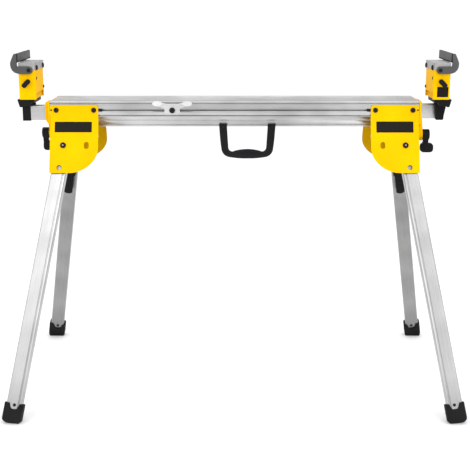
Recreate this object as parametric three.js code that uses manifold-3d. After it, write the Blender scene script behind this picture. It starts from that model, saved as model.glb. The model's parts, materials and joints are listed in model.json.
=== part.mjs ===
// Folding work stand for a bench-top saw: an aluminium beam on four folding legs, with a sliding
// extension arm and a height-adjustable work support at each end. Millimetres, +Z up, X along the
// beam, and the front is -Y. The origin is on the floor, under the middle of the beam.
import * as THREE from 'three';
import { mergeVertices } from 'three/addons/utils/BufferGeometryUtils.js';
import Module from 'manifold-3d';

const wasm = await Module();
wasm.setup();

// ---- Driving dimensions -------------------------------------------------------------------------
const GAP = 0.3; // between parts that touch
const BEAM = { half: 508, top: 826, railBottom: 783.5, railHalf: 71, bodyHalf: 38, bottom: 752 };
const SLOT = { z: 801.5, half: 3.4, cavityHalf: 8, mouth: 66, floor: 56 };
const LINE = { z: 786.5, half: 1.7, floor: 62 }; // a decorative groove along the rail's lower edge
const CHANNEL = { y: 18.5, half: 15.3, low: 768.7, high: 809.3 };
const PLATE = { inner: 375, outer: 507, top: 815, bend: 776, bottom: 636, thick: 3, tilt: 21, corner: 8 };
const PIVOT = { x: 470, z: 708, lean: 9.5, gap: 4, toe: 0.031, pinReach: 63 };
const LEG = { width: 41, depth: 23, wall: 2.2, above: 24 };
const FOOT = { width: 52, depth: 32, height: 54, sole: 15, bulge: 1.5, corner: 16, toe: 20 };
const LEVER = { top: -46, pivot: -108, end: -176, width: 25, axisDepth: 20 };
const ARM = { width: 30, low: 769, high: 809, end: 568, tail: 430, wall: 2.6 };
const CAP = { face: 508.3, plate: 512.5, collar: 527, top: 823, half: 73, low: 748 };
const BOSS = { y: 20, z: 727, r: 17, bore: 6 };
const HEAD = { inner: 546, outer: 592.5, half: 59, low: 828.3, high: 908.7, wall: 3, innerLow: 845 };
const COLUMN = { inner: 551, outer: 587, half: 52, high: 900 };
const TABLE = { low: 909, high: 929, inner: 544.5, outer: 591.5, half: 60, corner: 10 };
const STOP = {
  x: 562, z: 909, r: 10.2, outer: 612, high: 953.5, low: 929, face: 594, front: 67, rear: 124, corner: 7,
};
const GRIP = { x: 35.5, half: 79, top: 760, low: 664, high: 690, strap: 22, front: -49, back: -38.3 };
const CLEAT = { x: -171, z: 805, lobeX: 41, lobeZ: 15, lobeWidth: 28, lobeHeight: 15, thick: 9 };
const BOLT = { x: [387, 490], hole: 3.7, shank: 3, head: 7, nut: 7, nutInner: 58, nutOuter: 64 };
const PIN = { nose: 6.3, stem: 4.5, button: 7, short: 2.5 }; // short: clear of the plate, so legs swing
const KNOB = {
  end: 548, r: 15, screw: 5.4, neck: 12, waist: 9, bar: 36, barHigh: 26, barZ: 689.8, slide: 14,
};
const LOCK = { x: 570, z: 873.5, front: -75, back: -67.5, width: 27, height: 13, turn: 45, hub: 4.5 };

const rad = THREE.MathUtils.degToRad;
const paint = (color, roughness, metalness) => (
  new THREE.MeshStandardMaterial({ color, roughness, metalness })
);
const YELLOW = paint(0xfed605, 0.45, 0.1);
const ALUMINIUM = paint(0xd6d7d8, 0.38, 0.9);
const BLACK = paint(0x1c1c1e, 0.6, 0.0);
const RUBBER = paint(0x141415, 0.85, 0.0);
const STEEL = paint(0xb9bbbd, 0.35, 1.0);
const DARK_STEEL = paint(0x4a4a4d, 0.5, 0.6);

// ---- Solid helpers ------------------------------------------------------------------------------
function solid(geometry) {
  const g = geometry.clone();
  g.deleteAttribute('normal');
  g.deleteAttribute('uv');
  const merged = mergeVertices(g, 1e-4);
  const vertProperties = new Float32Array(merged.attributes.position.array);
  const triVerts = new Uint32Array(merged.index.array);
  return new wasm.Manifold(new wasm.Mesh({ numProp: 3, vertProperties, triVerts }));
}

function geometryOf(body) {
  const mesh = body.getMesh();
  const g = new THREE.BufferGeometry();
  g.setAttribute('position', new THREE.BufferAttribute(new Float32Array(mesh.vertProperties), 3));
  g.setIndex(new THREE.BufferAttribute(new Uint32Array(mesh.triVerts), 1));
  return g;
}

const join = (...geometries) => geometryOf(geometries.map(solid).reduce((a, b) => a.add(b)));
const cut = (geometry, ...tools) => (
  geometryOf(tools.map(solid).reduce((a, b) => a.subtract(b), solid(geometry)))
);
const meet = (a, b) => geometryOf(solid(a).intersect(solid(b)));

const outline = (points) => new THREE.Shape(points.map(([x, y]) => new THREE.Vector2(x, y)));

function roundedRect(w, h, r, cx = 0, cy = 0) {
  const s = new THREE.Shape();
  const [x, y] = [cx - w / 2, cy - h / 2];
  s.moveTo(x + r, y);
  s.lineTo(x + w - r, y).absarc(x + w - r, y + r, r, -Math.PI / 2, 0);
  s.lineTo(x + w, y + h - r).absarc(x + w - r, y + h - r, r, 0, Math.PI / 2);
  s.lineTo(x + r, y + h).absarc(x + r, y + h - r, r, Math.PI / 2, Math.PI);
  s.lineTo(x, y + r).absarc(x + r, y + r, r, Math.PI, 1.5 * Math.PI);
  return s;
}

const extrude = (shape, depth, curveSegments = 5) =>
  new THREE.ExtrudeGeometry(shape, { depth, bevelEnabled: false, curveSegments });

const X = new THREE.Vector3(1, 0, 0);
const Y = new THREE.Vector3(0, 1, 0);
const Z = new THREE.Vector3(0, 0, 1);
const basis = (a, b, c) => new THREE.Matrix4().makeBasis(a, b, c);

// A (y, z) outline pushed along X, an (x, z) outline along Y, and an (x, y) outline along Z.
function alongX(shape, x0, x1, segments) {
  return extrude(shape, x1 - x0, segments).applyMatrix4(basis(Y, Z, X)).translate(x0, 0, 0);
}
function alongY(shape, y0, y1, segments) {
  const minusY = Y.clone().negate();
  return extrude(shape, y1 - y0, segments).applyMatrix4(basis(X, Z, minusY)).translate(0, y1, 0);
}
function alongZ(shape, z0, z1, segments) {
  return extrude(shape, z1 - z0, segments).translate(0, 0, z0);
}

function box(x0, x1, y0, y1, z0, z1) {
  const [w, d, h] = [Math.abs(x1 - x0), Math.abs(y1 - y0), Math.abs(z1 - z0)];
  return new THREE.BoxGeometry(w, d, h).translate((x0 + x1) / 2, (y0 + y1) / 2, (z0 + z1) / 2);
}

// A rod of radius r from one point to another.
function rod(from, to, r, sides = 20) {
  const axis = new THREE.Vector3().subVectors(to, from);
  const turn = new THREE.Quaternion().setFromUnitVectors(Y, axis.clone().normalize());
  const middle = new THREE.Vector3().addVectors(from, to).multiplyScalar(0.5);
  const g = new THREE.CylinderGeometry(r, r, axis.length(), sides).applyQuaternion(turn);
  return g.translate(middle.x, middle.y, middle.z);
}
const v3 = (x, y, z) => new THREE.Vector3(x, y, z);

const stand = new THREE.Group();
function add(parent, name, geometry, material) {
  const mesh = new THREE.Mesh(geometry, material);
  mesh.name = name;
  parent.add(mesh);
  return mesh;
}

const SIDES = [['left', -1], ['right', 1]];
const FACES = [['front', -1], ['rear', 1]];

// ---- Beam: one extrusion, with T-slots in both faces and two channels for the arms --------------
function beamSection() {
  const half = [
    [37.7, BEAM.bottom], [37.7, 756], [36.3, 757.5], [36.3, 768.5], [BEAM.bodyHalf, 770.5],
    [BEAM.bodyHalf, BEAM.railBottom - 1.5], [40, BEAM.railBottom],
    [BEAM.railHalf, BEAM.railBottom], [BEAM.railHalf, LINE.z - LINE.half],
    [LINE.floor, LINE.z - LINE.half], [LINE.floor, LINE.z + LINE.half], [BEAM.railHalf, LINE.z + LINE.half],
    [BEAM.railHalf, SLOT.z - SLOT.half - 1.5], [69.8, SLOT.z - SLOT.half],
    [SLOT.mouth, SLOT.z - SLOT.half], [SLOT.mouth, SLOT.z - SLOT.cavityHalf],
    [SLOT.floor, SLOT.z - SLOT.cavityHalf], [SLOT.floor, SLOT.z + SLOT.cavityHalf],
    [SLOT.mouth, SLOT.z + SLOT.cavityHalf], [SLOT.mouth, SLOT.z + SLOT.half],
    [69.5, SLOT.z + SLOT.half], [69.5, 818.2], [64, 818.4], [64, 820.8],
    [BEAM.railHalf, 821.2], [BEAM.railHalf, BEAM.top - 1.2], [69.8, BEAM.top],
    [45, BEAM.top], [44, BEAM.top - 1.5], [15, BEAM.top - 1.5], [14, BEAM.top - 2.6], [13, BEAM.top - 1.5],
  ];
  const mirrored = half.map(([y, z]) => [-y, z]).reverse();
  const section = outline([...half, ...mirrored]);
  for (const s of [-1, 1]) {
    const chambers = [
      roundedRect(
        2 * CHANNEL.half, CHANNEL.high - CHANNEL.low, 1,
        s * CHANNEL.y, (CHANNEL.low + CHANNEL.high) / 2,
      ),
      roundedRect(14, 31, 1, s * 45.8, 805),
      roundedRect(30, 8.6, 1, s * 18.5, 816.4),
      roundedRect(30, 10.4, 1, s * 18.5, 760.6),
    ];
    section.holes.push(...chambers);
  }
  return section;
}
add(stand, 'beam', alongX(beamSection(), -BEAM.half, BEAM.half, 2), ALUMINIUM);

// ---- Bracket plates: flat against the rail, then tilted outward to carry the legs ---------------
const tilt = rad(PLATE.tilt);
const plateOffset = (z) => BEAM.railHalf + GAP + PLATE.thick + Math.max(0, PLATE.bend - z) * Math.tan(tilt);

// The outward normal and the downhill direction of a tilted plate, and its pivot's place on it.
function plateFrame(sx, sy) {
  const normal = v3(0, sy * Math.cos(tilt), Math.sin(tilt));
  const down = v3(0, sy * Math.sin(tilt), -Math.cos(tilt));
  const pivot = v3(sx * PIVOT.x, sy * plateOffset(PIVOT.z), PIVOT.z);
  return { normal, down, pivot };
}

// A leg's own frame: e3 up the leg, e2 outward and e1 across it, with the pivot axis e2 toed a
// little so that folded legs lie side by side.
function legFrame(sx, sy) {
  const { normal, down, pivot } = plateFrame(sx, sy);
  const lean = rad(PIVOT.lean);
  const along = down.clone().multiplyScalar(Math.cos(lean)).addScaledVector(X, sx * Math.sin(lean));
  const inward = down.clone().multiplyScalar(Math.sin(lean)).addScaledVector(X, -sx * Math.cos(lean));
  const e2 = normal.clone().addScaledVector(inward, -sx * sy * PIVOT.toe).normalize();
  const e3 = along.clone().negate();
  const e1 = new THREE.Vector3().crossVectors(e2, e3);
  const centre = pivot.clone().addScaledVector(normal, -(PLATE.thick + PIVOT.gap + LEG.depth / 2));
  return { e1, e2, e3, along, centre, matrix: basis(e1, e2, e3).setPosition(centre) };
}

function plate(sx, sy) {
  const t = PLATE.thick;
  const face = BEAM.railHalf + GAP;
  const sheet = [
    [sy * face, PLATE.top], [sy * (face + t), PLATE.top], [sy * (face + t), PLATE.bend],
    [sy * plateOffset(PLATE.bottom), PLATE.bottom],
    [sy * (plateOffset(PLATE.bottom) - t / Math.cos(tilt)), PLATE.bottom],
    [sy * face, PLATE.bend - t * Math.tan(tilt / 2)],
  ];
  const start = sx > 0 ? PLATE.inner : -PLATE.outer;
  const profile = alongX(outline(sheet), start, start + PLATE.outer - PLATE.inner);
  const edge = new THREE.Shape();
  const r = PLATE.corner;
  edge.moveTo(sx * PLATE.outer, PLATE.bottom + 2);
  edge.lineTo(sx * PLATE.outer, PLATE.top - r);
  edge.quadraticCurveTo(sx * PLATE.outer, PLATE.top, sx * (PLATE.outer - r), PLATE.top);
  edge.lineTo(sx * (PLATE.inner + r), PLATE.top);
  edge.quadraticCurveTo(sx * PLATE.inner, PLATE.top, sx * PLATE.inner, PLATE.top - r);
  edge.lineTo(sx * PLATE.inner, PIVOT.z - 8);
  edge.bezierCurveTo(sx * PLATE.inner, 664, sx * 415, PLATE.bottom, sx * 452, PLATE.bottom);
  edge.lineTo(sx * (PLATE.outer - 2), PLATE.bottom);
  const blank = meet(profile, alongY(edge, sy > 0 ? 60 : -140, sy > 0 ? 140 : -60, 10));
  const { normal, down, pivot } = plateFrame(sx, sy);
  const hole = (p, radius) => (
    rod(p.clone().addScaledVector(normal, -12), p.clone().addScaledVector(normal, 12), radius, 16)
  );
  const leg = legFrame(sx, sy);
  const locked = pivot.clone().addScaledVector(leg.along, PIVOT.pinReach);
  const folded = pivot.clone().addScaledVector(X, -sx * PIVOT.pinReach);
  const oval = [-3, 0, 3].map((d) => hole(folded.clone().addScaledVector(down, d), 7));
  const boltHoles = BOLT.x.map((x) => (
    rod(v3(sx * x, sy * 60, SLOT.z), v3(sx * x, sy * 90, SLOT.z), BOLT.hole, 8)
  ));
  return cut(blank, hole(pivot, 6.8), hole(locked, 7.2), ...oval, ...boltHoles);
}

function plateBolt(x, sy) {
  const out = BEAM.railHalf + GAP + PLATE.thick + GAP;
  const [head, shank, nut] = [
    rod(v3(x, sy * out, SLOT.z), v3(x, sy * (out + 4), SLOT.z), BOLT.head, 16),
    rod(v3(x, sy * BOLT.nutInner, SLOT.z), v3(x, sy * (out + 1), SLOT.z), BOLT.shank, 8),
    rod(v3(x, sy * BOLT.nutInner, SLOT.z), v3(x, sy * BOLT.nutOuter, SLOT.z), BOLT.nut, 6),
  ];
  return join(head, shank, nut);
}

// ---- Legs, in the leg frame: Z up the leg from the pivot ----------------------------------------
const legLength = legFrame(1, -1).centre.z / -legFrame(1, -1).along.z;
const legBottom = -(legLength - FOOT.sole);

// The outer face has one shallow groove, along the edge nearest the middle of the stand.
function legTube(inward) {
  const [w, d, chamfer, edge] = [LEG.width / 2, LEG.depth / 2, 2, 6.5];
  const groove = [[w - edge, d], [w - edge - 1, d - 1.3], [w - edge - 3, d - 1.3], [w - edge - 4, d]];
  const outerFace = inward > 0 ? groove : groove.map(([x, y]) => [-x, y]).reverse();
  const section = outline([
    [w, chamfer - d], [w, d - chamfer], [w - chamfer, d], ...outerFace, [chamfer - w, d],
    [-w, d - chamfer], [-w, chamfer - d], [chamfer - w, -d], [w - chamfer, -d],
  ]);
  section.holes.push(roundedRect(LEG.width - 2 * LEG.wall - 1.6, LEG.depth - 2 * LEG.wall - 1.2, 1));
  const tube = alongZ(section, legBottom, LEG.above, 2);
  const pivotHole = rod(v3(0, -d - 5, 0), v3(0, d + 5, 0), 6.7, 16);
  const pinHole = rod(v3(0, -d - 5, -PIVOT.pinReach), v3(0, d + 5, -PIVOT.pinReach), 6.9, 16);
  return cut(tube, pivotHole, pinHole);
}

// A rubber boot with a round toe, a flat patch where it meets the floor, and a U cut out of its
// outer and inner walls.
function foot(frame, inward) {
  const w = FOOT.width / 2;
  const top = -legLength + FOOT.height;
  const low = -legLength - FOOT.bulge;
  const r = FOOT.corner;
  const side = new THREE.Shape();
  side.moveTo(w, top);
  side.lineTo(-w, top);
  side.lineTo(-w, low + r);
  side.absarc(r - w, low + r, r, Math.PI, 1.5 * Math.PI);
  side.absarc(w - r, low + r, r, 1.5 * Math.PI, 2 * Math.PI);
  const boot = alongY(side, -FOOT.depth / 2, FOOT.depth / 2, 8);
  const block = alongZ(roundedRect(FOOT.width, FOOT.depth, 7), -legLength - 20, top, 3);
  const cavity = alongZ(roundedRect(LEG.width + 2 * GAP, LEG.depth + 2 * GAP, 1), legBottom - GAP, 0, 2);
  const middle = inward * 1.5;
  const scoop = alongY(outline([
    [middle + 15, top + 3], [middle - 15, top + 3], [middle - 9, top - 13], [middle - 6, top - 15.5],
    [middle + 6, top - 15.5], [middle + 9, top - 13],
  ]), -40, 40);
  const d = FOOT.depth / 2;
  const toe = new THREE.Shape();
  toe.moveTo(d, top);
  toe.lineTo(-d, top);
  toe.lineTo(-d, low);
  toe.absarc(d - FOOT.toe, low + FOOT.toe, FOOT.toe, -Math.PI / 2, 0);
  const rounded = alongX(toe, -w - 1, w + 1, 6);
  const floor = new THREE.BoxGeometry(300, 300, 100).translate(frame.centre.x, frame.centre.y, -50);
  floor.translate(frame.along.x * legLength, frame.along.y * legLength, 0);
  floor.applyMatrix4(frame.matrix.clone().invert());
  return cut(meet(meet(boot, block), rounded), cavity, scoop, floor);
}

function pivotBolt() {
  const inner = -LEG.depth / 2 - GAP;
  const face = LEG.depth / 2 + PIVOT.gap + PLATE.thick + 0.7;
  const washer = [LEG.depth / 2 + GAP, LEG.depth / 2 + PIVOT.gap - 0.8];
  return join(
    rod(v3(0, inner - 7, 0), v3(0, face + 1, 0), 6, 12),
    rod(v3(0, face, 0), v3(0, face + 3.4, 0), 8, 16),
    rod(v3(0, washer[0], 0), v3(0, washer[1], 0), 11, 16),
    rod(v3(0, inner - 6, 0), v3(0, inner, 0), 10, 6),
  );
}

// The release lever rocks on a cross pin held by a small bracket on the leg's inner face.
function leverBracket() {
  const face = -LEG.depth / 2 - GAP;
  const ear = (s) => box(s * 13.2, s * 16, face - 12, face - 0.5, LEVER.pivot - 8, LEVER.pivot + 8);
  const base = box(-16, 16, face - 1.8, face, LEVER.pivot - 12, LEVER.pivot + 12);
  const pin = rod(v3(-17, -LEVER.axisDepth, LEVER.pivot), v3(17, -LEVER.axisDepth, LEVER.pivot), 2.5, 8);
  return join(base, ear(-1), ear(1), pin);
}

function releaseLever() {
  const depth = LEVER.axisDepth;
  const side = new THREE.Shape();
  side.moveTo(-14.4, LEVER.top);
  side.quadraticCurveTo(-21, LEVER.top - 1, -21.5, LEVER.top - 8);
  side.lineTo(-22.5, LEVER.pivot + 18);
  side.quadraticCurveTo(-depth - 7, LEVER.pivot, -28, LEVER.pivot - 18);
  side.quadraticCurveTo(-34, LEVER.end, -29, LEVER.end);
  side.quadraticCurveTo(-25.4, LEVER.end + 2, -24.4, LEVER.end + 14);
  side.lineTo(-16.2, LEVER.pivot - 6);
  side.lineTo(-16.2, LEVER.pivot + 8);
  side.lineTo(-14.4, LEVER.pivot + 20);
  const blade = alongX(side, -LEVER.width / 2, LEVER.width / 2, 4);
  const middle = (LEVER.top + LEVER.end) / 2;
  const face = alongY(roundedRect(LEVER.width, LEVER.top - LEVER.end, 10, 0, middle), -40, 0, 4);
  const bore = rod(v3(-20, -depth, LEVER.pivot), v3(20, -depth, LEVER.pivot), 3, 12);
  const pinHole = rod(v3(0, -40, -PIVOT.pinReach), v3(0, 0, -PIVOT.pinReach), 6.4, 12);
  return cut(meet(blade, face), bore, pinHole);
}

function lockPin() {
  const z = -PIVOT.pinReach;
  const nose = LEG.depth / 2 + PIVOT.gap - PIN.short;
  return join(
    rod(v3(0, -4, z), v3(0, nose, z), PIN.nose, 16),
    rod(v3(0, -26, z), v3(0, -3, z), PIN.stem, 8),
    rod(v3(0, -26.5, z), v3(0, -23.4, z), PIN.button, 12),
  );
}

for (const [sideName, sx] of SIDES) {
  for (const [faceName, sy] of FACES) {
    const where = `${faceName}_${sideName}`;
    add(stand, `bracket_plate_${where}`, plate(sx, sy), YELLOW);
    BOLT.x.forEach((x, k) => {
      add(stand, `plate_bolt_${where}_${k === 0 ? 'inner' : 'outer'}`, plateBolt(sx * x, sy), BLACK);
    });
    const frame = legFrame(sx, sy);
    const leg = new THREE.Group();
    leg.applyMatrix4(frame.matrix);
    stand.add(leg);
    add(leg, `leg_${where}`, legTube(-sx * sy), ALUMINIUM);
    add(leg, `foot_${where}`, foot(frame, -sx * sy), RUBBER);
    add(leg, `pivot_bolt_${where}`, pivotBolt(), DARK_STEEL);
    add(leg, `lever_bracket_${where}`, leverBracket(), DARK_STEEL);
    add(leg, `release_lever_${where}`, releaseLever(), BLACK);
    add(leg, `lock_pin_${where}`, lockPin(), STEEL);
  }
}

// ---- Ends: cap, arm, clamp knob and work support ------------------------------------------------
// Everything here is written for the right end; the left end is the same turned half a turn about
// Z, except the work support's front face details, which stay at the front.
const turned = (geometry, sx) => (sx > 0 ? geometry : geometry.rotateZ(Math.PI));

function endCap(sx) {
  const face = outline([
    [-CAP.half, CAP.low + 14], [-CAP.half, CAP.top - 6], [-CAP.half + 5, CAP.top], [CAP.half - 5, CAP.top],
    [CAP.half, CAP.top - 6], [CAP.half, CAP.low + 14], [44, CAP.low], [-44, CAP.low],
  ].reverse());
  const plateBody = alongX(face, CAP.face, CAP.plate);
  const collar = alongY(outline([
    [CAP.plate - 1, 822], [CAP.collar - 4, 820], [CAP.collar, 816], [CAP.collar, 772], [CAP.plate - 1, 745],
  ]), 0, 39);
  const rib = alongY(outline([
    [CAP.face, 816], [516, 816], [524, 768], [CAP.collar, BOSS.z + 9], [CAP.face, BOSS.z + 5],
  ]), -34, -6);
  const boss = rod(v3(CAP.face, -BOSS.y, BOSS.z), v3(CAP.collar, -BOSS.y, BOSS.z), BOSS.r, 20);
  const mouth = box(500, 540, CHANNEL.y - CHANNEL.half, CHANNEL.y + CHANNEL.half, CHANNEL.low, CHANNEL.high);
  const bore = rod(v3(514, -BOSS.y, BOSS.z), v3(540, -BOSS.y, BOSS.z), BOSS.bore, 12);
  return turned(cut(join(plateBody, collar, rib, boss), mouth, bore), sx);
}

function arm(sx) {
  const [width, height, z] = [ARM.width, ARM.high - ARM.low, (ARM.low + ARM.high) / 2];
  const section = roundedRect(width, height, 1.5, CHANNEL.y, z);
  const inside = roundedRect(width - 2 * ARM.wall, height - 2 * ARM.wall, 1, CHANNEL.y, z);
  section.holes.push(inside);
  return turned(alongX(section, -ARM.tail, ARM.end, 2), sx);
}

// A knob on a short screw, with a sliding cross bar in the end of its hanging stem.
function clampKnob(sx) {
  const [y, z] = [-BOSS.y, BOSS.z];
  const slide = sx > 0 ? 0 : -KNOB.slide;
  const hub = rod(v3(CAP.collar + GAP, y, z), v3(KNOB.end, y, z), KNOB.r, 20);
  const screw = rod(v3(516, y, z), v3(535, y, z), KNOB.screw, 12);
  const neck = outline([
    [y - KNOB.neck, z], [y - KNOB.waist, 700], [y + KNOB.waist, 700], [y + KNOB.neck, z],
  ]);
  const stem = alongX(neck, CAP.collar + 4.5, 545.5);
  const bar = alongY(roundedRect(KNOB.bar, KNOB.barHigh, 9, 542 + slide, KNOB.barZ), y - 10, y + 10, 4);
  return turned(join(hub, screw, stem, bar), sx);
}

function supportBase(sx) {
  const y0 = CHANNEL.y;
  const top = HEAD.low - GAP;
  const flange = alongY(outline([
    [554, top], [600, top], [600, top - 4], [595, ARM.high + GAP - 3], [588, ARM.high + GAP - 3],
    [588, ARM.high + GAP], [568, ARM.high + GAP], [564, 818], [554, 818],
  ]), -50, 50);
  const endBlock = box(ARM.end + GAP, 591, y0 - 16, y0 + 16, ARM.low - 2, 812);
  const fit = ARM.width / 2 - ARM.wall - GAP;
  const spigot = box(545, 575, y0 - fit, y0 + fit, ARM.low + ARM.wall + GAP, ARM.high - ARM.wall - GAP);
  const gusset = alongY(
    outline([[561, 812], [594, 812], [585.5, ARM.low - 2], [566.5, ARM.low - 2]]),
    -16, y0 - ARM.width / 2 - GAP,
  );
  const bridge = box(570, 583, -16, y0, ARM.low - 2, 812);
  return turned(join(flange, endBlock, spigot, gusset, bridge), sx);
}

function column(sx) {
  const [middle, depth] = [(COLUMN.inner + COLUMN.outer) / 2, COLUMN.outer - COLUMN.inner];
  const section = roundedRect(depth, 2 * COLUMN.half, 3, middle, 0);
  section.holes.push(roundedRect(depth - 8, 2 * COLUMN.half - 8, 2, middle, 0));
  return turned(alongZ(section, HEAD.low, COLUMN.high, 2), sx);
}

function headBox(sx) {
  const middle = (HEAD.inner + HEAD.outer) / 2;
  const depth = HEAD.outer - HEAD.inner;
  const shell = alongZ(roundedRect(depth, 2 * HEAD.half, 4, middle, 0), HEAD.low, HEAD.high, 3);
  const hollow = alongZ(
    roundedRect(depth - 2 * HEAD.wall, 2 * (HEAD.half - HEAD.wall), 2, middle, 0),
    HEAD.low - 5, HEAD.high - HEAD.wall, 2,
  );
  const edge = HEAD.half - 5;
  const window = box(540, HEAD.inner + HEAD.wall + 1, -edge, edge, HEAD.low - 1, HEAD.innerLow);
  return turned(cut(shell, hollow, window), sx);
}

// The work rest, with the studs that its flip stop turns on. The corner at the front, towards the
// middle of the stand, is rounded more than the others, so it mirrors from end to end.
function tablePlate(sx) {
  const { inner, outer, half, corner, low, high } = TABLE;
  const shape = new THREE.Shape();
  shape.moveTo(sx * outer, -half);
  shape.lineTo(sx * outer, half);
  shape.lineTo(sx * inner, half);
  shape.lineTo(sx * inner, corner - half);
  shape.quadraticCurveTo(sx * inner, -half, sx * (inner + corner), -half);
  const slab = alongZ(shape, low, high, 5);
  const studs = [-1, 1].flatMap((s) => [
    rod(v3(sx * STOP.x, s * (half - 0.6), STOP.z), v3(sx * STOP.x, s * (half + 0.1), STOP.z), 8, 16),
    rod(v3(sx * STOP.x, s * (half - 0.6), STOP.z), v3(sx * STOP.x, s * (STOP.front + 0.5), STOP.z), 3.2, 12),
  ]);
  return join(slab, ...studs);
}

// The stop's two side arms curve outward and up from their pivots to a plate that runs on past the
// rear one. It mirrors from end to end instead of turning, so the plate's long end is at the rear.
function flipStop(sx) {
  const { x, z, r, outer, high, face } = STOP;
  const side = new THREE.Shape();
  side.absarc(x, z, r, Math.PI / 2, 1.5 * Math.PI);
  side.lineTo(outer - 30, z - r);
  side.quadraticCurveTo(outer, z - r, outer, z + 16);
  side.quadraticCurveTo(outer, z + 24, outer - 11, high);
  side.lineTo(face, high);
  side.lineTo(face, z + r + 4);
  side.quadraticCurveTo(face, z + r, face - 4, z + r);
  const mirror = (geometry) => (sx > 0 ? geometry : geometry.rotateZ(Math.PI));
  const long = sx > 0 ? 1 : -1;
  const sheet = new THREE.Shape();
  sheet.moveTo(-long * STOP.front, STOP.low);
  sheet.lineTo(long * STOP.rear, STOP.low);
  sheet.lineTo(long * STOP.rear, high - STOP.corner);
  sheet.quadraticCurveTo(long * STOP.rear, high, long * (STOP.rear - STOP.corner), high);
  sheet.lineTo(-long * STOP.front, high);
  const plateBody = alongX(sheet, face, face + 5, 5);
  const arms = [-1, 1].map((s) => {
    const [a, b] = [s * (STOP.front - 6.6), s * STOP.front];
    return alongY(side, Math.min(a, b), Math.max(a, b), 5);
  });
  const bores = rod(v3(x, -80, z), v3(x, 80, z), 3.6, 12);
  return mirror(cut(join(plateBody, ...arms), bores));
}

// The height lock's lever, on the support's front face at both ends.
function headLever(sx) {
  const [x, z] = [sx * LOCK.x, LOCK.z];
  const wing = roundedRect(LOCK.width, LOCK.height, 5).getPoints(4).map((p) => {
    const a = rad(-LOCK.turn * sx);
    return [x + p.x * Math.cos(a) - p.y * Math.sin(a), z + p.x * Math.sin(a) + p.y * Math.cos(a)];
  });
  const lever = alongY(outline(wing), LOCK.front, LOCK.back);
  const hub = rod(v3(x, -70, z), v3(x, -HEAD.half - GAP, z), LOCK.hub, 12);
  return join(lever, hub);
}

for (const [name, sx] of SIDES) {
  add(stand, `end_cap_${name}`, endCap(sx), YELLOW);
  add(stand, `extension_arm_${name}`, arm(sx), ALUMINIUM);
  add(stand, `clamp_knob_${name}`, clampKnob(sx), BLACK);
  add(stand, `support_base_${name}`, supportBase(sx), BLACK);
  add(stand, `support_column_${name}`, column(sx), YELLOW);
  add(stand, `support_head_${name}`, headBox(sx), YELLOW);
  add(stand, `support_table_${name}`, tablePlate(sx), ALUMINIUM);
  add(stand, `flip_stop_${name}`, flipStop(sx), DARK_STEEL);
  add(stand, `head_lever_${name}`, headLever(sx), BLACK);
}

// ---- Carry handle and the cleat in the front slot -----------------------------------------------
function carryHandle() {
  const { x, half, top, low, high, strap } = GRIP;
  const outer = new THREE.Shape();
  outer.moveTo(x - half, top);
  outer.lineTo(x - half + 6, low + 30);
  outer.quadraticCurveTo(x - half + 8, low + 4, x - half + 34, low + 3);
  outer.quadraticCurveTo(x, low - 7, x + half - 34, low + 3);
  outer.quadraticCurveTo(x + half - 8, low + 4, x + half - 6, low + 30);
  outer.lineTo(x + half, top);
  outer.lineTo(x + half - strap, top);
  outer.lineTo(x + half - strap - 4, high + 6);
  outer.quadraticCurveTo(x + half - strap - 5, high - 5, x + half - strap - 16, high - 6);
  outer.quadraticCurveTo(x, high + 6, x - half + strap + 16, high - 6);
  outer.quadraticCurveTo(x - half + strap + 5, high - 5, x - half + strap + 4, high + 6);
  outer.lineTo(x - half + strap, top);
  return alongY(outer, GRIP.front, GRIP.back, 5);
}
add(stand, 'carry_handle', carryHandle(), BLACK);

function cleat() {
  const { x, z } = CLEAT;
  const back = -BEAM.railHalf - GAP;
  const front = back - CLEAT.thick;
  const body = alongY(roundedRect(43, 27, 3, x, z + 1), front, back, 3);
  const lobes = [-1, 1].map((side) => {
    const [rx, rz] = [CLEAT.lobeWidth / 2, CLEAT.lobeHeight / 2];
    const [cx, cz] = [x + side * CLEAT.lobeX, z + CLEAT.lobeZ];
    const lobe = new THREE.Shape().absellipse(cx, cz, rx, rz, 0, 2 * Math.PI);
    return alongY(lobe, front - 3, back, 7);
  });
  const arms = [-1, 1].map((side) => {
    const arm = [[x, z - 6], [x, z + 10], [x + side * 40, z + 21], [x + side * 46, z + 9]];
    return alongY(outline(side > 0 ? arm.reverse() : arm), front, back);
  });
  const hole = rod(v3(x, back - 20, SLOT.z), v3(x, back + 5, SLOT.z), BOLT.hole, 8);
  return cut(join(body, ...arms, ...lobes), hole);
}
add(stand, 'slot_cleat', cleat(), ALUMINIUM);

function cleatScrew() {
  const out = BEAM.railHalf + GAP + CLEAT.thick + GAP;
  return join(
    rod(v3(CLEAT.x, -out - 5, SLOT.z), v3(CLEAT.x, -out, SLOT.z), 8, 16),
    rod(v3(CLEAT.x, -out - 1, SLOT.z), v3(CLEAT.x, -BOLT.nutInner, SLOT.z), BOLT.shank, 8),
    rod(v3(CLEAT.x, -BOLT.nutOuter, SLOT.z), v3(CLEAT.x, -BOLT.nutInner, SLOT.z), BOLT.nut, 6),
  );
}
add(stand, 'cleat_screw', cleatScrew(), BLACK);

export default stand;
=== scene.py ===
"""Looks of the folding saw stand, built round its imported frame. Metres, +Z up, the front is -Y."""
import json
from math import cos, pi, radians, sin, tau

import bmesh
import bpy
from mathutils import Matrix, Vector


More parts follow.
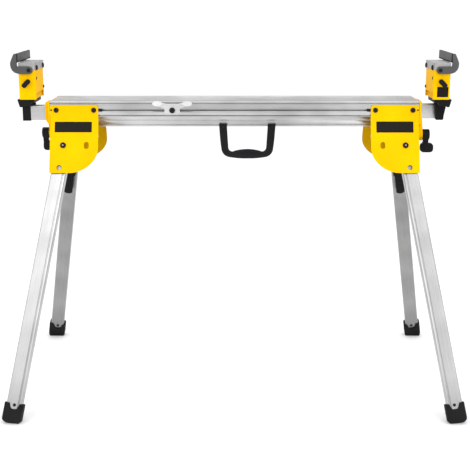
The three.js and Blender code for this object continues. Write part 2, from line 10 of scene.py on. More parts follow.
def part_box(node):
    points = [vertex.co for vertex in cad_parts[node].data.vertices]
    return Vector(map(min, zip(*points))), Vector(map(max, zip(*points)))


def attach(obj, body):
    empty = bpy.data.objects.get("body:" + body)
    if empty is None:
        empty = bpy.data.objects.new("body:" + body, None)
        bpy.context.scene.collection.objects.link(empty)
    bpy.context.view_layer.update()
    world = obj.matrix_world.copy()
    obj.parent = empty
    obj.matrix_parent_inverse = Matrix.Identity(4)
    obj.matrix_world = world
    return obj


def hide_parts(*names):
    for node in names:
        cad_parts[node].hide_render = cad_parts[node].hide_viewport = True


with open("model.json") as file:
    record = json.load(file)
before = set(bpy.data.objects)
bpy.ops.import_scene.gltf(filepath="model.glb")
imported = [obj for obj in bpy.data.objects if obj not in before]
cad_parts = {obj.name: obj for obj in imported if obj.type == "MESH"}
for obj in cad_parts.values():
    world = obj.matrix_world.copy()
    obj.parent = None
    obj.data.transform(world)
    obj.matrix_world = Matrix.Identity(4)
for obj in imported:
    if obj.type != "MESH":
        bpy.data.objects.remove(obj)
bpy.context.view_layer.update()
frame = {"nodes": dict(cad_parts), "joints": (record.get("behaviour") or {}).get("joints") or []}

MM = 0.001
SCENE = bpy.context.scene
JOINTS = {joint["name"]: joint for joint in frame["joints"]}
SIDES = (("left", -1), ("right", 1))
FACES = (("front", -1), ("rear", 1))
CORNERS = [(f"{face}_{side}", sx, sy) for side, sx in SIDES for face, sy in FACES]
X, Z = Vector((1, 0, 0)), Vector((0, 0, 1))

LENS, SENSOR = 76.6, 36
CAMERA_PLACE = (0.0012, -2.8228, 1.1306)
CAMERA_PITCH = 13.943  # degrees below the horizon
FAR = 1000
FLOOR_HALF = 200
EDGE_ANGLE = radians(38)  # sharper edges than this are rounded and stay sharp in the shading


# ---- Camera and light ---------------------------------------------------------------------------
def make_camera():
    data = bpy.data.cameras.new("camera")
    data.sensor_width = SENSOR
    data.lens = LENS
    data.clip_end = FAR
    camera = bpy.data.objects.new("camera", data)
    camera.location = CAMERA_PLACE
    camera.rotation_euler = (radians(90 - CAMERA_PITCH), 0, 0)
    SCENE.collection.objects.link(camera)
    SCENE.camera = camera


def area_light(name, place, target, size, power):
    data = bpy.data.lights.new(name, "AREA")
    data.shape = "RECTANGLE"
    data.size, data.size_y = size
    data.energy = power
    light = bpy.data.objects.new(name, data)
    light.location = place
    light.rotation_euler = (Vector(target) - Vector(place)).to_track_quat("-Z", "Y").to_euler()
    SCENE.collection.objects.link(light)


def make_light():
    world = bpy.data.worlds.new("studio")
    world.use_nodes = True
    background = world.node_tree.nodes["Background"]
    nodes, links = world.node_tree.nodes, world.node_tree.links
    height = nodes.new("ShaderNodeSeparateXYZ")
    links.new(nodes.new("ShaderNodeTexCoord").outputs["Generated"], height.inputs[0])
    ramp = nodes.new("ShaderNodeValToRGB")
    ramp.color_ramp.elements[0].color = (0.36, 0.36, 0.36, 1)
    ramp.color_ramp.elements[1].color = (1, 1, 1, 1)
    ramp.color_ramp.elements[1].position = 0.6
    links.new(height.outputs["Z"], ramp.inputs["Fac"])
    paper = nodes.new("ShaderNodeMix")
    paper.data_type = "RGBA"
    paper.inputs["B"].default_value = (1, 1, 1, 1)
    links.new(nodes.new("ShaderNodeLightPath").outputs["Is Camera Ray"], paper.inputs["Factor"])
    links.new(ramp.outputs["Color"], paper.inputs["A"])
    links.new(paper.outputs["Result"], background.inputs["Color"])
    background.inputs["Strength"].default_value = 1.25
    SCENE.world = world
    SCENE.view_settings.view_transform = "Standard"
    middle = (0, 0, 0.6)
    area_light("key", (-2.2, -3.2, 2.6), middle, (2.6, 2.2), 32)
    area_light("fill", (2.4, -3.2, 2.2), middle, (2.4, 2.2), 36)
    area_light("overhead", (0, 0.2, 3.4), middle, (3.5, 2.0), 14)


def make_floor():
    mesh = bpy.data.meshes.new("floor")
    half = FLOOR_HALF
    corners = [(-half, -half, 0), (half, -half, 0), (half, half, 0), (-half, half, 0)]
    mesh.from_pydata(corners, [], [(0, 1, 2, 3)])
    floor = bpy.data.objects.new("floor", mesh)
    SCENE.collection.objects.link(floor)
    paper = surface("floor_paper", (0.9, 0.9, 0.9), (0.93, 0.93, 0.93), (0.8, 0.95), grain=40,
                    specular=0.1)
    mesh.materials.append(paper)


# ---- Materials ----------------------------------------------------------------------------------
def surface(name, dark, light, roughness, metallic=0.0, grain=600, stretch=(1, 1, 1), bump=0.1,
            depth=0.0002, specular=0.5, coat=0.0, mottle=9, scuff=0.0, inner=1.0):
    """A material whose colour drifts between two tones, with a grain in its roughness and its
    height, and optional scuffs. grain is in cells per metre, stretched along the object's axes.
    inner is how strong the tone is on faces that look down: a painted shade that darkens them."""
    material = bpy.data.materials.new(name)
    material.use_nodes = True
    nodes, links = material.node_tree.nodes, material.node_tree.links
    shader = nodes["Principled BSDF"]
    shader.inputs["Metallic"].default_value = metallic
    shader.inputs["Specular IOR Level"].default_value = specular
    shader.inputs["Coat Weight"].default_value = coat
    shader.inputs["Coat Roughness"].default_value = 0.25
    place = nodes.new("ShaderNodeTexCoord").outputs["Object"]

    def noise(scale, vector, detail=2.0):
        node = nodes.new("ShaderNodeTexNoise")
        node.inputs["Scale"].default_value = scale
        node.inputs["Detail"].default_value = detail
        links.new(vector, node.inputs["Vector"])
        return node.outputs["Fac"]

    def blend_range(value, low, high, start=0.35, end=0.65):
        node = nodes.new("ShaderNodeMapRange")
        node.inputs["From Min"].default_value = start
        node.inputs["From Max"].default_value = end
        node.inputs["To Min"].default_value = low
        node.inputs["To Max"].default_value = high
        links.new(value, node.inputs["Value"])
        return node.outputs["Result"]

    def maths(kind, a, b):
        node = nodes.new("ShaderNodeMath")
        node.operation = kind
        links.new(a, node.inputs[0])
        if isinstance(b, (int, float)):
            node.inputs[1].default_value = b
        else:
            links.new(b, node.inputs[1])
        return node.outputs["Value"]

    mapping = nodes.new("ShaderNodeMapping")
    mapping.inputs["Scale"].default_value = stretch
    links.new(place, mapping.inputs["Vector"])
    fine = noise(grain, mapping.outputs["Vector"], 3.0)
    broad = noise(mottle, place)
    drift = maths("MULTIPLY_ADD", fine, 0.45)
    links.new(broad, drift.node.inputs[2])
    tones = nodes.new("ShaderNodeValToRGB")
    tones.color_ramp.elements[0].position = 0.5
    tones.color_ramp.elements[0].color = (*dark, 1)
    tones.color_ramp.elements[1].position = 0.95
    tones.color_ramp.elements[1].color = (*light, 1)
    links.new(drift, tones.inputs["Fac"])
    # Painted shade: faces that look down get their tone scaled down towards inner.
    slope = nodes.new("ShaderNodeSeparateXYZ")
    links.new(nodes.new("ShaderNodeNewGeometry").outputs["True Normal"], slope.inputs[0])
    painted_shade_scale = blend_range(slope.outputs["Z"], inner, 1, -0.3, -0.1)
    painted_shade_tone = nodes.new("ShaderNodeVectorMath")
    painted_shade_tone.operation = "SCALE"
    links.new(tones.outputs["Color"], painted_shade_tone.inputs[0])
    links.new(painted_shade_scale, painted_shade_tone.inputs["Scale"])
    links.new(painted_shade_tone.outputs["Vector"], shader.inputs["Base Color"])
    rough = blend_range(fine, *roughness)
    if scuff:
        marks = blend_range(noise(55, mapping.outputs["Vector"], 6.0), 0, scuff, 0.62, 0.7)
        rough = maths("ADD", rough, marks)
    links.new(rough, shader.inputs["Roughness"])
    relief = nodes.new("ShaderNodeBump")
    relief.inputs["Strength"].default_value = bump
    relief.inputs["Distance"].default_value = depth
    links.new(fine, relief.inputs["Height"])
    links.new(relief.outputs["Normal"], shader.inputs["Normal"])
    return material


def make_materials():
    streak_x, streak_z = (0.004, 1, 1), (1, 1, 0.004)
    metal = dict(metallic=1.0, roughness=(0.27, 0.4), grain=1100, bump=0.05, depth=0.00003, scuff=0.1)
    return {
        # inner=0.6 paints shade on the yellow's faces that look down
        "yellow": surface("yellow_powder_coat", (0.87, 0.46, 0.001), (0.98, 0.56, 0.001), (0.36, 0.5),
                          grain=520, bump=0.14, depth=0.0003, specular=0.015, scuff=0.15, inner=0.6),
        "beam": surface("beam_aluminium", (0.4, 0.4, 0.4), (0.6, 0.6, 0.6), stretch=streak_x, **metal),
        # inner=0.7 paints shade on the legs' faces that look down
        "leg": surface("leg_aluminium", (0.39, 0.39, 0.39), (0.51, 0.51, 0.51), stretch=streak_z, inner=0.7,
                       **metal),
        "cast": surface("cast_aluminium", (0.34, 0.34, 0.34), (0.5, 0.5, 0.5), (0.36, 0.5), metallic=0.9,
                        grain=750, bump=0.25, depth=0.0002),
        "wing": surface("cleat_casting", (0.5, 0.5, 0.5), (0.68, 0.68, 0.68), (0.3, 0.45), metallic=0.5,
                        grain=750, bump=0.2, depth=0.0002),
        "clip": surface("bright_clip", (0.66, 0.66, 0.66), (0.86, 0.86, 0.86), (0.3, 0.45), metallic=0.6,
                        grain=750, bump=0.2, depth=0.0002),
        "plastic": surface("black_plastic", (0.005, 0.005, 0.006), (0.013, 0.013, 0.014), (0.4, 0.56),
                           grain=1300, bump=0.25, depth=0.0002, specular=0.1, scuff=0.1),
        "grip": surface("grip_rubber", (0.004, 0.004, 0.005), (0.009, 0.009, 0.01), (0.3, 0.42),
                        grain=900, bump=0.2, depth=0.0002, specular=0.14),
        "rubber": surface("foot_rubber", (0.006, 0.006, 0.007), (0.014, 0.014, 0.015), (0.55, 0.8),
                          grain=700, bump=0.3, depth=0.0003, specular=0.12, scuff=0.1),
        "steel": surface("zinc_steel", (0.26, 0.25, 0.24), (0.46, 0.45, 0.43), (0.22, 0.4), metallic=1.0,
                         grain=500, bump=0.1, depth=0.0001, mottle=120),
        "dark": surface("dark_steel", (0.012, 0.01, 0.01), (0.03, 0.028, 0.026), (0.35, 0.5),
                        metallic=0.4, grain=800, bump=0.15, depth=0.0001, specular=0.15),
        "stop": surface("crinkle_grey", (0.06, 0.06, 0.062), (0.1, 0.1, 0.103), (0.45, 0.62),
                        grain=1100, bump=0.3, depth=0.0003, specular=0.25),
        "panel": surface("dark_panel", (0.006, 0.005, 0.004), (0.011, 0.01, 0.007), (0.3, 0.4),
                         grain=300, bump=0.03, depth=0.0001, specular=0.1),
    }


# ---- Mesh helpers -------------------------------------------------------------------------------
def piece(name, bm, body, material, replaces=(), place=None, sharp=38):
    """Turns a bmesh into an object of the stand, which rides on a body."""
    mesh = bpy.data.meshes.new(name)
    bmesh.ops.recalc_face_normals(bm, faces=bm.faces)
    bm.to_mesh(mesh)
    bm.free()
    mesh.shade_smooth()
    mesh.set_sharp_from_angle(angle=radians(sharp))
    mesh.materials.append(MATERIALS[material])
    obj = bpy.data.objects.new(name, mesh)
    SCENE.collection.objects.link(obj)
    if place is not None:
        obj.matrix_world = place
    bpy.context.view_layer.update()
    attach(obj, body)
    if replaces:
        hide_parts(*replaces)
    return obj


def node_mesh(node, place=None):
    """A copy of a CAD node's mesh, with its flat faces whole again, in the place's own axes."""
    bm = bmesh.new()
    bm.from_mesh(frame["nodes"][node].data)
    bmesh.ops.remove_doubles(bm, verts=bm.verts, dist=1e-6)
    bmesh.ops.dissolve_limit(bm, angle_limit=radians(0.5), verts=bm.verts, edges=bm.edges)
    if place is not None:
        bm.transform(place.inverted())
    return bm


def bevelled(node, name, body, material, width, segments=2, place=None):
    """The node's own shape with rounded edges."""
    obj = piece(name, node_mesh(node, place), body, material, (node,), place)
    bevel = obj.modifiers.new("edges", "BEVEL")
    bevel.width = width
    bevel.segments = segments
    bevel.limit_method = "ANGLE"
    bevel.angle_limit = EDGE_ANGLE
    bevel.use_clamp_overlap = True
    bevel.harden_normals = True
    return obj


def moulded(node, name, body, material, voxel=0.0009, passes=6, place=None):
    """The node's own shape with the soft edges and fillets of a moulding."""
    obj = piece(name, node_mesh(node, place), body, material, (node,), place, sharp=180)
    remesh = obj.modifiers.new("skin", "REMESH")
    remesh.mode = "VOXEL"
    remesh.voxel_size = voxel
    remesh.use_smooth_shade = True
    smooth = obj.modifiers.new("soften", "SMOOTH")
    smooth.iterations = passes
    smooth.factor = 0.5
    return obj


def placing(origin, axis, across=Z):
    """A matrix at origin whose Z is the axis."""
    axis = Vector(axis).normalized()
    side = Vector(across).cross(axis)
    if side.length < 0.01:
        side = X.cross(axis)
    side.normalize()
    matrix = Matrix((side, axis.cross(side), axis)).transposed().to_4x4()
    matrix.translation = origin
    return matrix


def add_rings(bm, rings, sides=32, place=Matrix()):
    """A closed turned shape. A ring is (radius, height), or (radius, height, 6) for a hexagon of
    that half-width across its flats. A radius of 0 closes an end."""
    previous = None
    for radius, height, *corners in rings:
        if radius == 0:
            loop = [bm.verts.new(place @ Vector((0, 0, height)))]
        else:
            loop = []
            for k in range(sides):
                a = tau * k / sides
                r = radius
                if corners:
                    step = tau / corners[0]
                    r = radius / cos((a + step / 2) % step - step / 2)
                loop.append(bm.verts.new(place @ Vector((r * cos(a), r * sin(a), height))))
        if previous:
            for k in range(sides):
                quad = []
                for vert in (previous[k % len(previous)], previous[(k + 1) % len(previous)],
                             loop[(k + 1) % len(loop)], loop[k % len(loop)]):
                    if vert not in quad:
                        quad.append(vert)
                bm.faces.new(quad)
        previous = loop


def button_screw(bm, place, radius, height, socket=0.45, depth=0.6):
    """A button-head screw with a hexagon socket, its underside at the place's origin."""
    r, h = radius, height
    s = r * socket
    rings = [(0, 0), (r * 0.97, 0), (r, h * 0.15), (r, h * 0.35), (r * 0.93, h * 0.68),
             (r * 0.78, h * 0.9), (r * 0.6, h), (s * 1.12, h), (s, h * 0.95, 6), (s, h * (1 - depth), 6),
             (0, h * (1 - depth) - s * 0.2)]
    add_rings(bm, rings, 36, place)


def add_prism(bm, outline, low, high, place=Matrix()):
    """A closed prism over an (x, y) outline, from z = low to z = high."""
    bottom = [bm.verts.new(place @ Vector((x, y, low))) for x, y in outline]
    top = [bm.verts.new(place @ Vector((x, y, high))) for x, y in outline]
    bm.faces.new(bottom[::-1])
    bm.faces.new(top)
    for k in range(len(outline)):
        n = (k + 1) % len(outline)
        bm.faces.new((bottom[k], bottom[n], top[n], top[k]))


def rounded(width, height, radius, steps=6):
    """The outline of a rounded rectangle round the origin."""
    points = []
    for cx, cy, start in ((1, -1, -pi / 2), (1, 1, 0), (-1, 1, pi / 2), (-1, -1, pi)):
        for k in range(steps + 1):
            a = start + pi / 2 * k / steps
            x = cx * (width / 2 - radius) + radius * cos(a)
            points.append((x, cy * (height / 2 - radius) + radius * sin(a)))
    return points


def bend(p, q, r, steps=10):
    """Points along a quadratic curve from p to r with handle q, without its first point."""
    curve = []
    for k in range(1, steps + 1):
        t = k / steps
        first, middle, last = (1 - t) ** 2, 2 * t * (1 - t), t * t
        curve.append(tuple(first * a + middle * b + last * c for a, b, c in zip(p, q, r)))
    return curve


def leg_place(where):
    """A leg's own axes: Z up the leg from its pivot, Y outward and X across."""
    across = Vector(JOINTS[f"lever_press_{where}"]["axis"])
    outward = -Vector(JOINTS[f"pin_draw_{where}"]["axis"])
    matrix = Matrix((across, outward, across.cross(outward))).transposed().to_4x4()
    matrix.translation = JOINTS[f"leg_fold_{where}"]["pos_m"]
    return matrix


def local_box(node, place):
    """Lowest and highest corner of a node in the place's own axes."""
    inverse = place.inverted()
    points = [inverse @ v.co for v in frame["nodes"][node].data.vertices]
    low = Vector([min(p[k] for p in points) for k in range(3)])
    high = Vector([max(p[k] for p in points) for k in range(3)])
    return low, high


# ---- Beam, plates and caps ----------------------------------------------------------------------
def make_beam():
    bevelled("beam", "beam_extrusion", "stand", "beam", 0.35 * MM, 1)
    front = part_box("beam")[1].y
    for where, sx, sy in CORNERS:
        plate_low, plate_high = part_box(f"bracket_plate_{where}")
        edge = plate_low.x if sx > 0 else plate_high.x
        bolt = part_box(f"plate_bolt_{where}_inner")
        z = (bolt[0].z + bolt[1].z) / 2
        bm = bmesh.new()
        stopper = placing((edge - sx * 5.5 * MM, sy * (front - 5 * MM), z), (0, sy, 0))
        add_prism(bm, rounded(8 * MM, 7 * MM, 1 * MM), 0, 5.6 * MM, stopper)
        piece(f"slot_stopper_{where}", bm, "stand", "plastic")


def make_plates():
    for where, _, sy in CORNERS:
        plate = f"bracket_plate_{where}"
        bevelled(plate, f"bracket_{where}", "stand", "yellow", 0.7 * MM)
        for row in ("inner", "outer"):
            node = f"plate_bolt_{where}_{row}"
            low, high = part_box(node)
            x, z = (low.x + high.x) / 2, (low.z + high.z) / 2
            y = high.y if sy > 0 else low.y
            place = placing((x, y - sy * 4 * MM, z), (0, sy, 0))
            bm = bmesh.new()
            button_screw(bm, place, 7 * MM, 4 * MM)
            shank = [(0, -18 * MM), (3 * MM, -18 * MM), (3 * MM, 0.1 * MM), (0, 0.1 * MM)]
            add_rings(bm, shank, 24, place)
            nut = [(0, -17.5 * MM), (6 * MM, -17.5 * MM, 6), (6 * MM, -12 * MM, 6), (0, -12 * MM)]
            add_rings(bm, nut, 36, place)
            piece(f"bolt_{where}_{row}", bm, "stand", "dark", (node,))


def make_rivets():
    """A small rivet beside each bracket plate's outer edge."""
    for where, sx, sy in CORNERS:
        low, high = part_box(f"bracket_plate_{where}")
        bolt_low, bolt_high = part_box(f"plate_bolt_{where}_outer")
        x = (high.x if sx > 0 else low.x) - sx * 3.4 * MM
        y = (bolt_high.y if sy > 0 else bolt_low.y) - sy * 4.4 * MM
        bm = bmesh.new()
        spot = placing((x, y, (bolt_low.z + bolt_high.z) / 2), (0, sy, 0))
        button_screw(bm, spot, 2.4 * MM, 1.1 * MM)
        piece(f"rivet_{where}", bm, "stand", "dark")


def plate_point(where, x, z):
    """A point on the tilted outer face of a bracket plate, and that face's outward direction."""
    sy = 1 if where.startswith("rear") else -1
    mesh = frame["nodes"][f"bracket_plate_{where}"].data
    slanted = [p for p in mesh.polygons if p.normal.y * sy > 0.5 and p.normal.z > 0.2]
    face = max(slanted, key=lambda polygon: polygon.area)
    middle, normal = Vector(face.center), Vector(face.normal)
    y = middle.y - (normal.z * (z - middle.z)) / normal.y
    return Vector((x, y, z)), normal


def make_panels():
    """Blank dark panels with a thin raised edge, one on each front plate and one on a work support."""
    for side, shift, height in (("left", -2.5 * MM, 29.5 * MM), ("right", 0, 31 * MM)):
        low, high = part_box(f"bracket_plate_front_{side}")
        spot, normal = plate_point(f"front_{side}", (low.x + high.x) / 2 + shift, low.z + 120 * MM)
        bm = bmesh.new()
        add_panel(bm, placing(spot, normal), 102 * MM, height)
        piece(f"panel_{side}", bm, "stand", "panel")
    low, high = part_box("support_head_right")
    bm = bmesh.new()
    spot = ((low.x + high.x) / 2 + 3 * MM, low.y, low.z + 21 * MM)
    add_panel(bm, placing(spot, (0, -1, 0)), 31 * MM, 28 * MM)
    piece("panel_support", bm, "head_right", "panel")


def add_panel(bm, place, width, height):
    """A thin plate with rounded corners, its middle sunk inside a narrow edge."""
    thick, edge = 0.5 * MM, 1.1 * MM
    loops = []
    sunk = (edge + 0.2 * MM, thick * 0.5)
    for inset, level in ((0, 0), (0, thick * 0.7), (0.25 * MM, thick), (edge, thick), sunk):
        corners = rounded(width - 2 * inset, height - 2 * inset, 1.6 * MM - inset * 0.6, 5)
        loops.append([bm.verts.new(place @ Vector((px, py, level))) for px, py in corners])
    for a, b in zip(loops, loops[1:]):
        for k in range(len(a)):
            n = (k + 1) % len(a)
            bm.faces.new((a[k], a[n], b[n], b[k]))
    bm.faces.new(loops[0][::-1])
    bm.faces.new(loops[-1])


def make_caps():
    for side, _ in SIDES:
        bevelled(f"end_cap_{side}", f"cap_{side}", "stand", "yellow", 1.2 * MM, 3)


# ---- Legs ---------------------------------------------------------------------------------------
def make_lever(where, place):
    """A lever whose outer face has rounded cross ribs and whose lower end curls outward."""
    node = f"release_lever_{where}"
    low, high = local_box(node, place)
    bm = bmesh.new()
    stations = 96
    half = (high.x - low.x) / 2
    rows = []
    for k in range(stations + 1):
        t = k / stations
        z = high.z + (low.z - high.z) * t
        first, last = (1 - min(1, t / 0.1)) ** 2, max(0, (t - 0.9) / 0.1) ** 2
        taper = min(1, (1 - first) ** 0.5 + 0.25, (1 - last) ** 0.5 + 0.25)
        width = half * taper
        back = -14.4 * MM - 7.5 * MM * max(0, (t - 0.25) / 0.75) ** 1.2
        front = -21.5 * MM - 7.5 * MM * max(0, (t - 0.15) / 0.85) ** 1.2
        rib = 0.9 * MM * max(0, sin(t * tau * 9)) * (1 if 0.1 < t < 0.92 else 0)
        front -= rib
        row = []
        for dx, dy in rounded(2 * width, back - front, min(2.4 * MM, width * 0.6), 4):
            row.append(bm.verts.new((dx, (front + back) / 2 + dy, z)))
        rows.append(row)
    for a, b in zip(rows, rows[1:]):
        for k in range(len(a)):
            n = (k + 1) % len(a)
            bm.faces.new((a[k], a[n], b[n], b[k]))
    bm.faces.new(rows[0][::-1])
    bm.faces.new(rows[-1])
    piece(f"lever_{where}", bm, node, "plastic", (node,), place, sharp=50)


def make_legs():
    for where, sx, sy in CORNERS:
        place = leg_place(where)
        body = f"leg_{where}"
        bevelled(f"leg_{where}", f"tube_{where}", body, "leg", 0.6 * MM, 2, place)
        moulded(f"foot_{where}", f"boot_{where}", body, "rubber", 1.0 * MM, 14)
        make_lever(where, place)
        foot_top = local_box(f"foot_{where}", place)[1].z
        tube_low, tube_high = local_box(f"leg_{where}", place)
        bm = bmesh.new()
        for face, angle in ((tube_high.y, -pi / 2), (tube_low.y, pi / 2)):
            spot = Matrix.Translation((-sx * sy * 1.5 * MM, face, foot_top - 5 * MM))
            button_screw(bm, spot @ Matrix.Rotation(angle, 4, "X"), 4.2 * MM, 2 * MM)
        piece(f"foot_screws_{where}", bm, body, "dark", (), place)
        mount = f"lever_mount_{where}"
        bevelled(f"lever_bracket_{where}", mount, body, "dark", 0.5 * MM, 2, place)
        h = 3.4 * MM
        under_head = local_box(f"pivot_bolt_{where}", place)[1].y - h
        bm = bmesh.new()
        head = Matrix.Translation((0, under_head, 0)) @ Matrix.Rotation(-pi / 2, 4, "X")
        add_rings(bm, [(0, -2.5 * MM), (6 * MM, -2.5 * MM), (6 * MM, 0), (8 * MM, 0), (8 * MM, h * 0.6),
                       (7.4 * MM, h), (5 * MM, h), (4.4 * MM, h * 0.7), (0, h * 0.7)], 40, head)
        add_rings(bm, [(0, -8 * MM), (11 * MM, -8 * MM), (11 * MM, -5 * MM), (10.4 * MM, -4.5 * MM),
                       (0, -4.5 * MM)], 40, head)
        add_rings(bm, [(0, -50 * MM), (6 * MM, -50 * MM), (6 * MM, -2 * MM), (0, -2 * MM)], 32, head)
        nut = Matrix.Translation((0, tube_low.y - 0.3 * MM, 0)) @ Matrix.Rotation(pi / 2, 4, "X")
        add_rings(bm, [(0, 0), (8.6 * MM, 0, 6), (8.6 * MM, 5.4 * MM, 6), (7.6 * MM, 6 * MM),
                       (0, 6 * MM)], 36, nut)
        piece(f"pivot_{where}", bm, "stand", "dark", (f"pivot_bolt_{where}",), place)
        bm = bmesh.new()
        stud = [(0, 0), (2.6 * MM, 0), (2.6 * MM, h * 0.5), (1.6 * MM, h * 0.86), (0, h * 0.95)]
        add_rings(bm, stud, 28, head @ Matrix.Translation((0, 0, h * 0.7)))
        piece(f"pivot_stud_{where}", bm, "stand", "steel", (), place)
        pin_low, pin_high = local_box(f"lock_pin_{where}", place)
        z = (pin_low.z + pin_high.z) / 2
        nose = Matrix.Translation((0, pin_high.y, z)) @ Matrix.Rotation(-pi / 2, 4, "X")
        bm = bmesh.new()
        back = pin_low.y - pin_high.y
        add_rings(bm, [(0, back), (7 * MM, back), (7 * MM, back + 3 * MM), (4.5 * MM, back + 3 * MM),
                       (4.5 * MM, -16 * MM), (6.3 * MM, -16 * MM), (6.3 * MM, -1.4 * MM), (5.2 * MM, 0),
                       (2.7 * MM, 0), (2.2 * MM, -1.6 * MM), (0, -1.8 * MM)], 36, nose)
        piece(f"pin_{where}", bm, f"lock_pin_{where}", "steel", (f"lock_pin_{where}",), place)


# ---- Ends: arms, knobs and work supports --------------------------------------------------------
def make_ends():
    for side, _ in SIDES:
        arm, head = f"arm_{side}", f"head_{side}"
        knob, stop, lock = f"clamp_knob_{side}", f"flip_stop_{side}", f"head_lever_{side}"
        bevelled(f"extension_arm_{side}", f"arm_tube_{side}", arm, "beam", 0.5 * MM)
        moulded(knob, f"knob_{side}", knob, "plastic", 0.9 * MM, 30)
        moulded(f"support_base_{side}", f"base_{side}", arm, "plastic", 1.0 * MM, 4)
        bevelled(f"support_column_{side}", f"post_{side}", arm, "yellow", 0.8 * MM)
        bevelled(f"support_head_{side}", f"housing_{side}", head, "yellow", 1.0 * MM, 3)
        bevelled(f"support_table_{side}", f"work_rest_{side}", head, "cast", 0.8 * MM, 3)
        bevelled(stop, f"stop_{side}", stop, "stop", 1.0 * MM, 3)
        moulded(lock, f"height_lever_{side}", lock, "plastic", 0.6 * MM, 4)


def make_stop_painted_shadow():
    """A painted shadow: a thin dark strip in the black rubber material on each flip stop's inner face, down
    beside its front arm and along its foot.
    """
    for side, sx in SIDES:
        low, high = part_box(f"flip_stop_{side}")
        pivot = Vector(JOINTS[f"stop_flip_{side}"]["pos_m"])
        face, foot = pivot.x + sx * 32 * MM, pivot.z + 21 * MM
        bm = bmesh.new()
        turn = Matrix(((0, 0, -sx), (1, 0, 0), (0, 1, 0))).to_4x4()
        place = Matrix.Translation((face, 0, 0)) @ turn
        front, rear = low.y + 0.6 * MM, high.y - 1 * MM
        band, strip, thick = 14 * MM, 2.4 * MM, 0.5 * MM
        top = high.z - 1 * MM
        outline = [(front, foot), (rear, foot), (rear, foot + strip), (front + band, foot + strip),
                   (front + band, top), (front, top)]
        add_prism(bm, outline, 0, thick, place)
        piece(f"stop_painted_shadow_{side}", bm, f"flip_stop_{side}", "rubber")


def make_end_screws():
    """The small screws of the ends: in the work rests, on the stops' studs and in the heads."""
    for side, sx in SIDES:
        low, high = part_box(f"support_table_{side}")
        rest_inner = low.x if sx > 0 else high.x
        middle = (low.z + high.z) / 2
        bm = bmesh.new()
        for y in (-0.046, 0.046):
            spot = (rest_inner + sx * 0.4 * MM, y, middle)
            button_screw(bm, placing(spot, (-sx, 0, 0)), 7.2 * MM, 4 * MM)
        piece(f"rest_screws_{side}", bm, f"head_{side}", "dark")
        pivot = Vector(JOINTS[f"stop_flip_{side}"]["pos_m"])
        bm = bmesh.new()
        for sy, y in ((-1, low.y), (1, high.y)):
            button_screw(bm, placing((pivot.x, y, pivot.z), (0, sy, 0)), 5.4 * MM, 2.8 * MM)
        piece(f"stud_caps_{side}", bm, f"head_{side}", "dark")
        low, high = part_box(f"support_head_{side}")
        inner = low.x if sx > 0 else high.x
        bm = bmesh.new()
        face = inner + sx * 0.3 * MM
        for y, rise, height in ((-0.044, 58 * MM, 1.6 * MM), (0.05, 27 * MM, 3 * MM)):
            button_screw(bm, placing((face, y, low.z + rise), (-sx, 0, 0)), 4.4 * MM, height)
        piece(f"head_screws_{side}", bm, f"head_{side}", "dark")


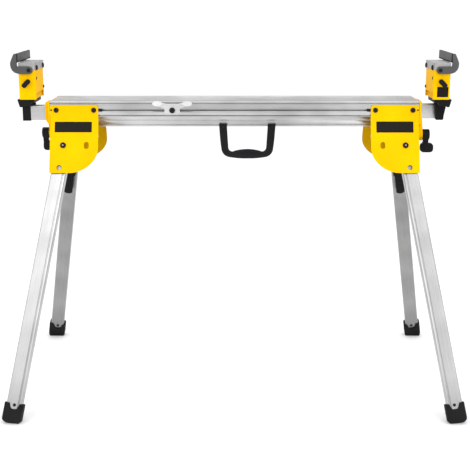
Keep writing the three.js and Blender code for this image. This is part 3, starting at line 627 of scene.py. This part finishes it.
def make_handle():
    """Two straps with raised rims, which run into a thicker, rounder grip."""
    low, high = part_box("carry_handle")
    x, top, half = (low.x + high.x) / 2, high.z, (high.x - low.x) / 2
    strap, floor, ceiling = 22 * MM, low.z, low.z + 27 * MM
    rim = half - strap
    outer = [(-half, top), (-half + 6 * MM, floor + 31 * MM)]
    outer[1:] = bend(outer[0], (-half + 3 * MM, (top + floor) / 2), outer[1], 14)
    outer += bend(outer[-1], (-half + 8 * MM, floor + 5 * MM), (-half + 34 * MM, floor + 3 * MM), 14)
    outer += bend(outer[-1], (-half * 0.3, floor - 0.5 * MM), (0, floor), 12)
    inner = [(-rim, top)]
    inner += bend(inner[0], (-rim + 2 * MM, (top + ceiling) / 2), (-rim + 4 * MM, ceiling + 5 * MM), 14)
    inner += bend(inner[-1], (-rim + 5 * MM, ceiling - 6 * MM), (-rim + 16 * MM, ceiling - 7 * MM), 14)
    inner += bend(inner[-1], (-rim * 0.45, ceiling - 0.5 * MM), (0, ceiling), 12)
    pairs = list(zip(outer, inner))
    pairs += [((-ox, oz), (-ix, iz)) for (ox, oz), (ix, iz) in pairs[-2::-1]]
    middle, depth = (low.y + high.y) / 2, (high.y - low.y) / 2
    bm = bmesh.new()
    rows = []
    for k, ((ox, oz), (ix, iz)) in enumerate(pairs):
        along = k / (len(pairs) - 1)
        grip = min(1, max(0, (0.3 - abs(along - 0.5)) / 0.09))
        grip = grip * grip * (3 - 2 * grip)
        row = []
        for j in range(40):
            a = tau * j / 40
            across, out = cos(a), sin(a)
            square = 0.45 + 0.55 * grip
            w = (abs(across) ** square) * (1 if across > 0 else -1)
            d = (abs(out) ** square) * (1 if out > 0 else -1)
            groove = (1 - grip) * 0.24 * max(0, 1 - (w / 0.55) ** 4)
            d *= 1 - groove
            share = (w + 1) / 2
            spot = (x + ox + (ix - ox) * share, middle + d * depth, oz + (iz - oz) * share)
            row.append(bm.verts.new(spot))
        rows.append(row)
    for a, b in zip(rows, rows[1:]):
        for j in range(40):
            n = (j + 1) % 40
            bm.faces.new((a[j], a[n], b[n], b[j]))
    bm.faces.new(rows[0][::-1])
    bm.faces.new(rows[-1])
    piece("handle", bm, "stand", "grip", ("carry_handle",), sharp=50)
    bm = bmesh.new()
    for side in (-1, 1):
        spot = (x + side * (half - strap / 2), low.y + 1.2 * MM, top - 8 * MM)
        button_screw(bm, placing(spot, (0, -1, 0)), 4.2 * MM, 2.6 * MM)
    piece("handle_screws", bm, "stand", "dark")


def make_cleat():
    moulded("slot_cleat", "cleat", "stand", "wing", 0.7 * MM, 6)
    low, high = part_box("slot_cleat")
    bm = bmesh.new()
    for x in (low.x + 14 * MM, high.x - 14 * MM):
        place = placing((x, low.y + 1 * MM, high.z - 7.5 * MM), (0, -1, 0))
        for inset, bottom, top in ((0.6 * MM, 0, 1.3 * MM), (1.6 * MM, 1.3 * MM, 1.8 * MM)):
            rx, ry = 13.8 * MM - inset, 7.3 * MM - inset
            tip = [(rx * cos(tau * k / 48), ry * sin(tau * k / 48)) for k in range(48)]
            add_prism(bm, tip, bottom, top, place)
    piece("cleat_tips", bm, "stand", "clip")
    low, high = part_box("cleat_screw")
    middle = (low + high) / 2
    place = placing((middle.x, low.y + 5 * MM, middle.z), (0, -1, 0))
    bm = bmesh.new()
    button_screw(bm, place, 8 * MM, 5 * MM)
    add_rings(bm, [(0, -16 * MM), (3 * MM, -16 * MM), (3 * MM, 0.1 * MM), (0, 0.1 * MM)], 24, place)
    piece("cleat_bolt", bm, "stand", "dark", ("cleat_screw",))


MATERIALS = make_materials()
make_camera()
make_light()
make_floor()
make_beam()
make_plates()
make_rivets()
make_caps()
make_panels()
make_legs()
make_ends()
# painted shadow strips on the flip stops
make_stop_painted_shadow()
make_end_screws()
make_handle()
make_cleat()
